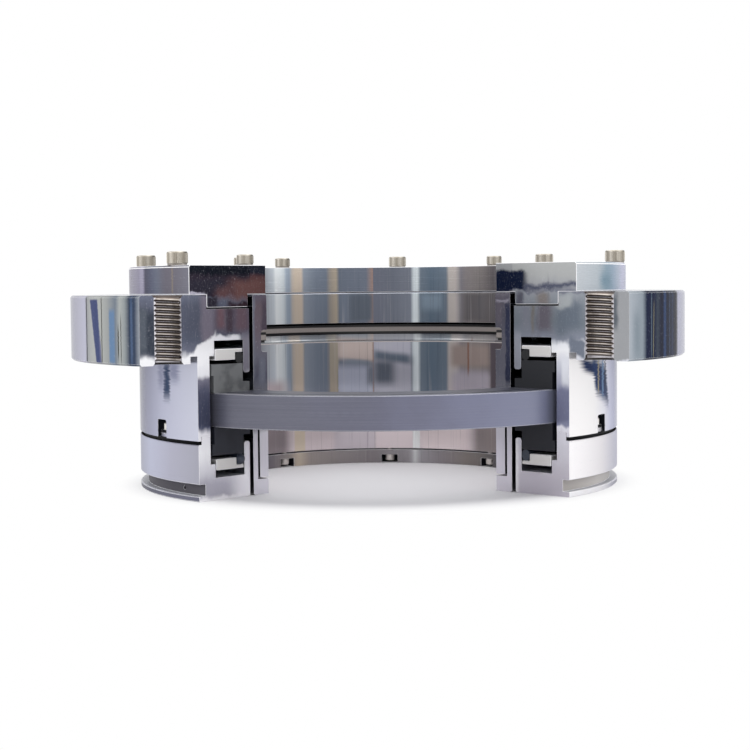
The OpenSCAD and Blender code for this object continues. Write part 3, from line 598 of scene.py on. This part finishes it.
RIGHT_HOUSING_REFLECTIONS = [(128.0, 138.0, 57.0, 85.0, 0.5, 0.5, "9c9ea1"),
                 (129.0, 131.5, 70.0, 84.0, 1.0, 2.5, "5f656c"),
                 (101.0, 114.0, 66.5, 78.0, 3.2, 3.4, "69727e", 0.0, 0.25),
                 (100.5, 108.5, 78.5, 83.5, 1.6, 1.4, "a6abae"),
                 (91.0, 98.5, 68.0, 82.0, 2.6, 3.0, "6c6872"),
                 (87.6, 89.6, 68.0, 82.0, 0.9, 3.0, "7b7876"),
                 (83.0, 87.0, 68.0, 80.0, 2.0, 3.0, "848792"),
                 (78.0, 82.5, 52.0, 68.0, 0.3, 2.0, "9699a4"),
                 (107.5, 115.7, 59.5, 66.5, 1.0, 1.2, "737a88", 0.0, -0.3),
                 (103.5, 107.5, 46.0, 57.0, 0.8, 2.0, "e0e2ea")]
RIGHT_PLATE_REFLECTIONS = [(68.0, 85.0, 85.4, 93.6, 2.2, 0.7, "131d36"),
               (84.0, 112.0, 85.7, 87.4, 1.2, 0.9, "54586a", 0.0, 0.05),
               (91.0, 97.0, 79.0, 84.5, 2.0, 1.6, "87817f"),
               (80.0, 84.0, 79.0, 84.5, 1.2, 1.2, "5f606c")]
RIGHT_SLEEVE_REFLECTIONS = [(74.0, 78.0, 46.0, 80.0, 0.5, 2.5, "3a3e54"),
                (69.0, 72.0, 71.0, 82.0, 1.2, 2.5, "6a6670"),
                (69.0, 76.0, 80.6, 81.4, 1.0, 0.6, "a6a3b0")]
RIGHT_BASE_REFLECTIONS = [(74.0, 80.5, -1.0, 31.0, 1.5, 2.0, "fffdff")]

# Painted shade in grooves, slots and notches, painted reflections by angle on the neck and the flange corner, and a
# painted glint on the groove's lip: radii, heights, colour or colours by angle
JOINT_GROOVE_SHADE = (103.0, 107.33, 23.38, 25.05, "04050a")
NECK_REFLECTIONS = (99.0, 104.2, 2.4, 7.0, [(-180, "8a888e"), (-60, "57555b"), (-45, "5c5a60"), (45, "a9a4a0"), (62, "c6c2be"),
                               (80, "a5a2a0"), (180, "8a888e")])
CASING_SLOT_SHADE = (101.4, 107.25, 25.15, 33.2, "14161c")
FLANGE_CORNER_SHADING = (107.6, 112.4, 56.95, 60.5, [(-180, "101218"), (0, "050609"), (45, "8a8c92"), (100, "101218"),
                                             (180, "101218")])
BORE_GROOVE_SHADOW = (68.9, 72.3, 63.9, 69.7, "0c0c10")
GROOVE_LIP_GLINT = (68.0, 69.2, 60.05, 60.45, "c2bab8")
FOOT_NOTCH_SHADE = (68.9, 77.1, 0.15, 6.4, "1c1c22")

# Turned walls: lowest radius, highest radius, side
FLANGE_WALL, CASING_WALL = (120.0, 140.0, 1), (106.5, 107.6, 1)
BASE_WALL, PLATE_WALL = (104.5, 112.0, 1), (104.0, 115.0, 1)
PLATE_BORE, SLEEVE_BORE, GROOVE_BACK = (60.0, 72.0, -1), (60.0, 68.8, -1), (71.0, 72.4, -1)
SLEEVE_INSIDE = (60.0, 72.4, -1)

FINISHES = {
    "housing": turned_steel(
        "polished_flange_steel", "c0c3cc", 0.16,
        painted=((*FLANGE_WALL, FLANGE_REFLECTIONS), (*CASING_WALL, CASING_REFLECTIONS)),
        wall_patches=((*FLANGE_WALL, 0.35, FLANGE_REFLECTION_PATCHES), (*CASING_WALL, 2.0, CASING_REFLECTION_PATCHES)),
        left=(LEFT_OUTER_REFLECTIONS, LEFT_INNER_REFLECTIONS, LEFT_HOUSING_REFLECTIONS), right=(RIGHT_OUTER_REFLECTIONS, RIGHT_INNER_REFLECTIONS, RIGHT_HOUSING_REFLECTIONS),
        shaded=(JOINT_GROOVE_SHADE, CASING_SLOT_SHADE, FLANGE_CORNER_SHADING)),
    "lower_housing": turned_steel(
        "satin_base_steel", "c8cad2", 0.3, painted=((*BASE_WALL, BASE_REFLECTIONS),),
        wall_patches=((*BASE_WALL, 0.5, RIM_REFLECTION_PATCHES),),
        left=(LEFT_OUTER_REFLECTIONS, LEFT_INNER_REFLECTIONS, LEFT_BASE_REFLECTIONS), right=(RIGHT_OUTER_REFLECTIONS, RIGHT_INNER_REFLECTIONS, RIGHT_BASE_REFLECTIONS),
        shaded=(JOINT_GROOVE_SHADE, NECK_REFLECTIONS)),
    "top_plate": turned_steel(
        "plate_steel", "a9abb6", 0.26, painted=((*PLATE_WALL, PLATE_REFLECTIONS), (*PLATE_BORE, BORE_REFLECTIONS)),
        wall_patches=((*PLATE_WALL, 0.8, PLATE_REFLECTION_PATCHES),), wall_metal=0.4,
        left=(LEFT_OUTER_REFLECTIONS, LEFT_INNER_REFLECTIONS, LEFT_PLATE_REFLECTIONS), right=(RIGHT_OUTER_REFLECTIONS, RIGHT_INNER_REFLECTIONS, RIGHT_PLATE_REFLECTIONS),
        speckle_share=0.6),
    "shaft_sleeve": turned_steel(
        "honed_sleeve_steel", "aeb2bc", 0.14,
        # The groove's back wall takes the bore's painted reflections made paler: painted light against the shade of
        # its recess.
        painted=((*SLEEVE_BORE, BORE_REFLECTIONS), (*GROOVE_BACK, paler(BORE_REFLECTIONS, 0.42))),
        wall_patches=((*SLEEVE_INSIDE, 0.3, BORE_REFLECTION_PATCHES),), wall_metal=0.3,
        left=(LEFT_OUTER_REFLECTIONS, LEFT_INNER_REFLECTIONS, LEFT_SLEEVE_REFLECTIONS), right=(RIGHT_OUTER_REFLECTIONS, RIGHT_INNER_REFLECTIONS, RIGHT_SLEEVE_REFLECTIONS),
        line_depth=0.002, shaded=(BORE_GROOVE_SHADOW, GROOVE_LIP_GLINT)),
    "clamp_sleeve": turned_steel(
        "clamp_sleeve_steel", "b4b0b4", 0.2, painted=((*SLEEVE_BORE, FOOT_REFLECTIONS),), wall_metal=0.35,
        left=(LEFT_OUTER_REFLECTIONS, LEFT_INNER_REFLECTIONS, ()), right=(RIGHT_OUTER_REFLECTIONS, RIGHT_INNER_REFLECTIONS, ()), shaded=(FOOT_NOTCH_SHADE,)),
    "mating_ring": lapped_steel("lapped_ring"),
    "upper_thrust_ring": turned_steel("upper_thrust_steel", "dcdad8", 0.3, cut_rough=0.3, metal=0.6),
    "lower_thrust_ring": turned_steel("lower_thrust_steel", "dcdad8", 0.3, cut_rough=0.3, metal=0.6),
    # The carbon rings' paler left sides are painted highlight.
    "upper_carbon_ring": matt("upper_carbon", "0d1018", 0.55, "1e222c", left="686a6c"),
    "lower_carbon_ring": matt("lower_carbon", "12141e", 0.55, "20232f", left="232631"),
    "upper_oring": matt("upper_oring_rubber", "101114", 0.6, "1c1e22"),
    "lower_oring": matt("lower_oring_rubber", "2f3542", 0.45, "565e6e"),
    "ring_oring": matt("ring_oring_rubber", "17181b", 0.6, "24262a"),
    # The seal's black top and bottom are painted shadow.
    "sleeve_seal": matt("sleeve_seal_polymer", "857e7b", 0.4, "a39c97", ends=(65.35, 67.5)),
    "plate_screws": screw_steel("cap_screw_steel"),
    "sleeve_screws": screw_steel("small_cap_screw_steel"),
    "screw_washers": plain_steel("washer_steel", "96908a", 0.35),
    "casing_screws": plain_steel("casing_screw_steel", "e6e3de", 0.3, metal=0.5),
    "clamp_screws": plain_steel("clamp_screw_steel", "dcd5d0", 0.3, metal=0.4),
    "upper_stop_pins": plain_steel("upper_pin_steel", "c9c7c2", 0.25),
    "lower_stop_pins": plain_steel("lower_pin_steel", "c9c7c2", 0.25),
    "ring_drive_pins": plain_steel("drive_pin_steel", "c9c7c2", 0.25),
    "upper_springs": plain_steel("upper_spring_steel", "a9aaad", 0.3),
    "lower_springs": plain_steel("lower_spring_steel", "a9aaad", 0.3),
}
THREAD_STEEL = flank_steel("thread_steel")
# Near white and barely metallic: a painted highlight for the bevels along every broken edge.
EDGE_HIGHLIGHT_STEEL = plain_steel("broken_edge_steel", "fafafc", 0.45, stain_share=0.06, metal=0.15)


def dress(obj, material):
    """Gives every face of an object one material."""
    obj.data.materials.clear()
    obj.data.materials.append(material)


# ---------------------------------------------------------------- pieces

def link(name, mesh):
    """A new object in the scene."""
    obj = bpy.data.objects.new(name, mesh)
    bpy.context.scene.collection.objects.link(obj)
    return obj


def body_name(node):
    """The body that a CAD node rides on."""
    return next(body for body, nodes in frame["record"]["behaviour"]["bodies"].items() if node in nodes)


def merged_copy(node, suffix, flatten=0.0):
    """A new object with a CAD piece's mesh, doubles merged and faces within flatten degrees made one."""
    source = frame["nodes"][node]
    mesh = bpy.data.meshes.new(node + suffix)
    work = bmesh.new()
    work.from_mesh(source.data)
    work.transform(source.matrix_world)
    bmesh.ops.remove_doubles(work, verts=work.verts, dist=WELD * MM)
    if flatten:
        bmesh.ops.dissolve_limit(work, angle_limit=math.radians(flatten), verts=work.verts, edges=work.edges)
    work.to_mesh(mesh)
    work.free()
    return link(node + "_piece", mesh)


def stand_for(piece, node):
    """Puts a piece in the place of a CAD node: hides the node and sets the piece on the node's body."""
    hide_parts(node)
    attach(piece, body_name(node))


def broken_edges(node, width):
    """A copy of a CAD piece with its sharp edges broken, which stands for it."""
    piece = merged_copy(node, "_broken", flatten=0.4)
    piece.data.materials.append(FINISHES[node])
    # The bevels take the near-white steel, a painted highlight on each broken edge.
    piece.data.materials.append(EDGE_HIGHLIGHT_STEEL)
    bevel = piece.modifiers.new("edges", "BEVEL")
    bevel.width = width * MM
    bevel.segments = 1
    bevel.limit_method = "ANGLE"
    bevel.angle_limit = math.radians(40)
    bevel.use_clamp_overlap = True
    bevel.loop_slide = False
    bevel.material = 1
    bake(piece)
    # Bevels at the joint groove go back to the first material, so no painted highlight lines the groove.
    for face in piece.data.polygons:
        near = abs(face.center.z - JOINT_Z * MM) < JOINT_REACH * MM
        if near and face.center.xy.length > JOINT_GROOVE_SHADE[0] * MM:
            face.material_index = 0
    shade(piece, 22)
    stand_for(piece, node)


def working_springs(node):
    """A copy of a row of face springs, which stands for them, with a mesh that is not shared."""
    piece = merged_copy(node, "_coils")
    dress(piece, FINISHES[node])
    shade(piece, 50)
    stand_for(piece, node)
    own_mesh(piece)


def bake(piece):
    """Turns a piece and its modifiers into a plain mesh."""
    graph = bpy.context.evaluated_depsgraph_get()
    mesh = bpy.data.meshes.new_from_object(piece.evaluated_get(graph))
    old = piece.data
    piece.modifiers.clear()
    piece.data = mesh
    mesh.name = piece.name
    bpy.data.meshes.remove(old)


def on_axis(angle, radius, z):
    """The place at an angle from the front, a radius and a height, in metres."""
    turn = math.radians(angle)
    return Vector((radius * math.sin(turn), -radius * math.cos(turn), z)) * MM


# ---------------------------------------------------------------- threads and knurls, by Geometry Nodes

def node_tree(name, inputs):
    """A Geometry Nodes tree with named inputs; returns it with its input node and the inputs' identifiers."""
    tree = bpy.data.node_groups.new(name, "GeometryNodeTree")
    keys = {}
    for label, kind in inputs:
        keys[label] = tree.interface.new_socket(label, in_out="INPUT", socket_type="NodeSocket" + kind).identifier
    tree.interface.new_socket("Mesh", in_out="OUTPUT", socket_type="NodeSocketGeometry")
    return tree, add(tree, "NodeGroupInput").outputs, keys


def end_tree(tree, instances, material):
    """Closes a tree with Realize Instances and Set Material."""
    real = add(tree, "GeometryNodeRealizeInstances", (), {0: instances})
    painted = add(tree, "GeometryNodeSetMaterial", (), {"Geometry": real.outputs[0], "Material": material})
    add(tree, "NodeGroupOutput", (), {0: painted.outputs[0]})


def thread_tree():
    """Turns of a screw thread that stand inwards from a hole's wall."""
    tree, given, keys = node_tree("thread_turns", [("Radius", "Float"), ("Depth", "Float"), ("Pitch", "Float"),
                                                   ("Turns", "Int"), ("Sweep", "Float"), ("Material", "Material")])
    rise = Sock(tree, given["Pitch"]) * Sock(tree, given["Sweep"])
    middle = Sock(tree, given["Radius"]) - Sock(tree, given["Depth"]) * 0.47
    turn = add(tree, "GeometryNodeCurveSpiral", (), {"Resolution": 40, "Rotations": given["Sweep"], "Reverse": True,
                                                     "Start Radius": middle, "End Radius": middle, "Height": rise})
    level = add(tree, "GeometryNodeSetCurveNormal", {"mode": "Z_UP"}, {"Curve": turn.outputs[0]})
    ridge = add(tree, "GeometryNodeCurvePrimitiveQuadrilateral", {"mode": "TRAPEZOID"},
                {"Bottom Width": Sock(tree, given["Pitch"]) * 0.985, "Top Width": Sock(tree, given["Pitch"]) * 0.14,
                 "Height": given["Depth"], "Offset": 0.0})
    turned = add(tree, "GeometryNodeTransform", (), {"Geometry": ridge.outputs[0], "Rotation": (0, 0, math.pi / 2)})
    swept = add(tree, "GeometryNodeCurveToMesh", (), {"Curve": level.outputs[0], "Profile Curve": turned.outputs[0],
                                                      "Fill Caps": True})
    step = add(tree, "ShaderNodeCombineXYZ", (), {2: given["Pitch"]})
    line = add(tree, "GeometryNodeMeshLine", {"mode": "OFFSET"}, {"Count": given["Turns"], "Offset": step.outputs[0]})
    copies = add(tree, "GeometryNodeInstanceOnPoints", (), {"Points": line.outputs[0], "Instance": swept.outputs[0]})
    end_tree(tree, copies.outputs[0], given["Material"])
    return tree, keys


def knurl_tree():
    """Upright ridges round a screw's head."""
    tree, given, keys = node_tree("knurl_ridges", [("Radius", "Float"), ("Height", "Float"), ("Count", "Int"),
                                                   ("Material", "Material")])
    ring = add(tree, "GeometryNodeMeshCircle", (), {"Vertices": given["Count"], "Radius": given["Radius"]})
    place = add(tree, "GeometryNodeInputPosition")
    facing = add(tree, "FunctionNodeAlignRotationToVector", {"axis": "X"}, {"Vector": place.outputs[0]})
    width = Sock(tree, given["Radius"]) * 0.1
    size = add(tree, "ShaderNodeCombineXYZ", (), {0: width, 1: width, 2: given["Height"]})
    bar = add(tree, "GeometryNodeMeshCylinder", (), {"Vertices": 4, "Radius": 0.5, "Depth": 1.0})
    slim = add(tree, "GeometryNodeTransform", (), {"Geometry": bar.outputs[0], "Scale": size.outputs[0]})
    copies = add(tree, "GeometryNodeInstanceOnPoints", (), {"Points": ring.outputs[0], "Instance": slim.outputs[0],
                                                            "Rotation": facing.outputs[0]})
    end_tree(tree, copies.outputs[0], given["Material"])
    return tree, keys


def grown(name, tree, keys, values):
    """A mesh made by a tree with these inputs."""
    piece = link(name, bpy.data.meshes.new(name))
    modifier = piece.modifiers.new("tree", "NODES")
    modifier.node_group = tree
    for label, value in values.items():
        modifier[keys[label]] = value
    bake(piece)
    return piece


def joined(name, pieces, material):
    """One mesh from several pieces, each with its placing matrix."""
    work = bmesh.new()
    for piece, matrix in pieces:
        part = piece.data.copy()
        part.transform(matrix)
        work.from_mesh(part)
        bpy.data.meshes.remove(part)
    for piece in {id(p): p for p, _ in pieces}.values():
        bpy.data.objects.remove(piece)
    mesh = bpy.data.meshes.new(name)
    bmesh.ops.recalc_face_normals(work, faces=work.faces)
    work.to_mesh(mesh)
    work.free()
    mesh.materials.append(material)
    return link(name, mesh)


def tap_walls(piece):
    """Gives the tapped holes' walls and lead-ins the threads' steel."""
    piece.data.materials.append(THREAD_STEEL)
    axes = [on_axis(angle, HOLE_CIRCLE, 0.0).xy for angle in JACK_ANGLES]
    for face in piece.data.polygons:
        if abs(face.normal.z) < 0.95 and FLANGE_LOW * MM < face.center.z < FLANGE_TOP * MM:
            if min((face.center.xy - axis).length for axis in axes) < (TAP_RADIUS + 0.85) * MM:
                face.material_index = 2


def ring_knurls():
    """Fine upright ridges round the heads of the cap screws on the plate."""
    tree, keys = knurl_tree()
    material = FINISHES["plate_screws"]
    placed = []
    for radius, height, count, circle, base, angles in HEADS:
        values = {"Radius": (radius - KNURL_SINK) * MM, "Height": height * MM, "Count": count, "Material": material}
        head = grown("knurl", tree, keys, values)
        middle = base + height / 2 + HEAD_FOOT
        placed += [(head, Matrix.Translation(on_axis(angle, circle, middle))) for angle in angles]
    knurls = joined("head_knurls", placed, material)
    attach(knurls, "stator")


def cut_threads():
    """The threads of the tapped flange holes; the two that the cut splits get half turns."""
    tree, keys = thread_tree()
    turns = int((FLANGE_TOP - FLANGE_LOW - 2 * TAP_SINK) / TAP_PITCH)
    values = {"Radius": (TAP_RADIUS + THREAD_OVERLAP) * MM, "Depth": THREAD_HEIGHT * MM, "Pitch": TAP_PITCH * MM,
              "Turns": turns, "Material": THREAD_STEEL}
    start = FLANGE_LOW + TAP_SINK + 0.6
    kinds = {sweep: grown("thread", tree, keys, {**values, "Sweep": sweep}) for sweep in (FULL_SWEEP, HALF_SWEEP)}
    placed = []
    for angle in JACK_ANGLES:
        halved = abs(angle) == HALF_CUT
        turn = math.radians(angle - 90 if angle > 0 else angle + 90)
        place = on_axis(angle, HOLE_CIRCLE, start + 0.5 * halved)
        matrix = Matrix.Translation(place) @ Matrix.Rotation(turn, 4, "Z")
        placed.append((kinds[HALF_SWEEP if halved else FULL_SWEEP], matrix))
    threads = joined("jack_threads", placed, THREAD_STEEL)
    shade(threads, 25)
    tap_walls(bpy.data.objects["housing_piece"])
    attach(threads, "stator")


def shade(piece, angle):
    """Smooth shading, with edges above an angle in degrees left sharp."""
    for face in piece.data.polygons:
        face.use_smooth = True
    piece.data.set_sharp_from_angle(angle=math.radians(angle))


# Bevel widths, mm, of the pieces whose section outlines catch the light
EDGE_WIDTHS = {"housing": 0.35, "lower_housing": 0.35, "top_plate": 0.35, "shaft_sleeve": 0.3, "clamp_sleeve": 0.3,
               "mating_ring": 0.3, "upper_thrust_ring": 0.25, "lower_thrust_ring": 0.25}

for node_name, obj in frame["nodes"].items():
    dress(obj, FINISHES[node_name])
for node_name, edge_width in EDGE_WIDTHS.items():
    broken_edges(node_name, edge_width)
working_springs("upper_springs")
working_springs("lower_springs")
cut_threads()
ring_knurls()


# ---------------------------------------------------------------- camera, light and floor

def place_camera():
    """The camera where the photograph was taken from."""
    data = bpy.data.cameras.new("camera")
    data.lens = CAMERA_LENS
    data.sensor_width = 36.0
    data.clip_start = 0.01
    camera = bpy.data.objects.new("camera", data)
    bpy.context.scene.collection.objects.link(camera)
    turn = (Matrix.Rotation(math.radians(CAMERA_PAN), 4, "Z") @ Matrix.Rotation(math.radians(90 + CAMERA_TILT), 4, "X")
            @ Matrix.Rotation(math.radians(CAMERA_ROLL), 4, "Z"))
    camera.matrix_world = Matrix.Translation(CAMERA_PLACE) @ turn
    bpy.context.scene.camera = camera


def soft_lamp(name, place, target, size, energy):
    """A large white lamp at a place, in metres, turned to its target."""
    data = bpy.data.lights.new(name, "AREA")
    data.shape = "RECTANGLE"
    data.size, data.size_y = size
    data.energy = energy
    lamp = bpy.data.objects.new(name, data)
    bpy.context.scene.collection.objects.link(lamp)
    lamp.location = place
    lamp.rotation_euler = (Vector(target) - Vector(place)).to_track_quat("-Z", "Y").to_euler()


def seen_directly(tree):
    """1 for rays from the camera and for rays in reflections and through glass."""
    path = add(tree, "ShaderNodeLightPath")
    camera, glossy, through = (Sock(tree, path.outputs[key]) for key in
                               ("Is Camera Ray", "Is Glossy Ray", "Is Transmission Ray"))
    return camera.math("MAXIMUM", glossy).math("MAXIMUM", through)


def studio_world():
    """White to the camera and in reflections, a little less for the light it gives."""
    world = bpy.data.worlds.new("studio")
    bpy.context.scene.world = world
    world.use_nodes = True
    tree = world.node_tree
    tree.nodes.clear()
    seen = seen_directly(tree)
    plain = add(tree, "ShaderNodeBackground", (), {"Color": (1, 1, 1, 1), "Strength": 0.9})
    white = add(tree, "ShaderNodeBackground", (), {"Color": (1, 1, 1, 1), "Strength": 1.0})
    both = add(tree, "ShaderNodeMixShader", (), {0: seen, 1: plain.outputs[0], 2: white.outputs[0]})
    output = add(tree, "ShaderNodeOutputWorld")
    tree.links.new(both.outputs[0], output.inputs["Surface"])


def lay_floor():
    """A plain white table that keeps the seal's shadow and fades to white round it."""
    mesh = bpy.data.meshes.new("floor")
    corners = ((-1, -1), (1, -1), (1, 1), (-1, 1))
    mesh.from_pydata([(x * FLOOR_REACH, y * FLOOR_REACH, FLOOR_Z) for x, y in corners], [], [(0, 1, 2, 3)])
    floor = link("floor", mesh)
    material, tree = new_material("white_table")
    coords = add(tree, "ShaderNodeTexCoord")
    parts = add(tree, "ShaderNodeSeparateXYZ", (), {0: coords.outputs["Object"]})
    x, y = (Sock(tree, s) for s in parts.outputs[:2])
    far = (x * x + y * y).math("SQRT").step(FADE_FROM, FADE_TO)
    paper = add(tree, "ShaderNodeBsdfDiffuse", (), {"Color": (0.81, 0.805, 0.83, 1)})
    glow = add(tree, "ShaderNodeEmission", (), {"Color": (1, 1, 1, 1), "Strength": 0.03})
    white = add(tree, "ShaderNodeEmission", (), {"Color": (1, 1, 1, 1), "Strength": 1.0})
    lit = add(tree, "ShaderNodeAddShader", (), {0: paper.outputs[0], 1: glow.outputs[0]})
    faded = add(tree, "ShaderNodeMixShader", (), {0: far, 1: lit.outputs[0], 2: white.outputs[0]})
    shown = add(tree, "ShaderNodeMixShader", (), {0: seen_directly(tree), 1: paper.outputs[0], 2: faded.outputs[0]})
    output = add(tree, "ShaderNodeOutputMaterial")
    tree.links.new(shown.outputs[0], output.inputs["Surface"])
    dress(floor, material)


place_camera()
studio_world()
lay_floor()
soft_lamp("top_softbox", (0.1, 0.1, 1.3), (0, 0, 0.05), (1.2, 1.2), 6)
soft_lamp("left_softbox", (-1.1, -0.5, 0.7), (0, 0, 0.05), (0.7, 0.9), 3.5)
soft_lamp("right_softbox", (1.2, -0.35, 0.6), (0, 0, 0.05), (0.8, 0.9), 4.5)

bpy.context.scene.view_settings.view_transform = "Standard"
